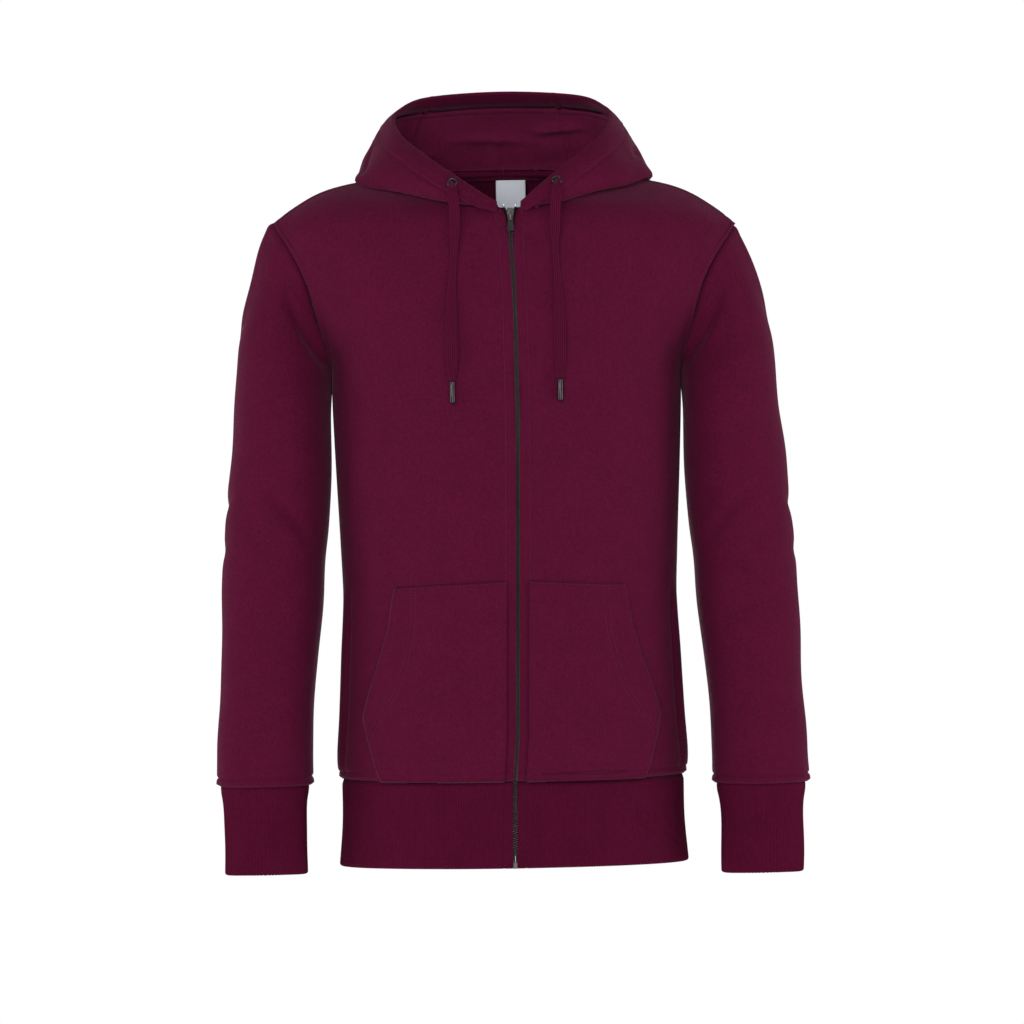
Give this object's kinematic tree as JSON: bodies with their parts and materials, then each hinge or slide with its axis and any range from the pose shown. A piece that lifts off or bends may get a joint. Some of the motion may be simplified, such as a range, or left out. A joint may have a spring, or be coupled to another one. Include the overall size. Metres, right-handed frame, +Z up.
{
  "type": "zip up hoodie",
  "caption": "Long-sleeved hooded sweatshirt with a full front zip, hood down, rib cuffs and hem band, side-entry front pockets and a drawcord, shaped as worn and hollow.",
  "frame": {"origin": "middle of the neck, level with the top of the shoulder seams, where the wearer's shoulders carry it", "axes": "+Z up, the front faces -Y, +X is the wearer's left"},
  "size_m": [0.6184, 0.2971, 0.8283],
  "materials": {
    "fleece": "brushed jersey, burgundy, matt",
    "fleece_lining": "smooth jersey, burgundy, matt",
    "rib_knit": "fine rib, burgundy, matt",
    "cord": "flat braided cord, burgundy",
    "zip_tape": "woven tape, burgundy",
    "neck_tape": "herringbone tape, burgundy",
    "label_white": "woven satin, blank",
    "gunmetal": "gunmetal plating, semi-gloss",
    "nickel": "nickel plating",
    "aglet_metal": "dark gloss plating"
  },
  "bodies": {
    "hoodie": {"aglet_left": "aglet_metal", "aglet_right": "aglet_metal", "back": "fleece", "cuff_left": "rib_knit", "cuff_right": "rib_knit", "drawcord_left": "cord", "drawcord_right": "cord", "eyelet_left": "gunmetal", "eyelet_right": "gunmetal", "front_left": "fleece", "front_right": "fleece", "hem_band": "rib_knit", "hood_left": "fleece", "hood_lining_left": "fleece_lining", "hood_lining_right": "fleece_lining", "hood_right": "fleece", "neck_label": "label_white", "neck_tape": "neck_tape", "pocket_left": "fleece", "pocket_right": "fleece", "sleeve_left": "fleece", "sleeve_right": "fleece", "zip_retainer_box": "gunmetal", "zip_slider": "gunmetal", "zip_tape_left": "zip_tape", "zip_tape_right": "zip_tape", "zip_top_stop_left": "nickel", "zip_top_stop_right": "nickel"},
    "zip_pull": {"zip_pull": "gunmetal"}
  },
  "joints": [
    {"name": "zip_pull_hinge", "type": "hinge", "parent": "hoodie", "child": "zip_pull", "pos_m": [0.007, -0.10353, -0.04264], "axis": [-1, 0, 0], "range_deg": [0, 150]}
  ]
}
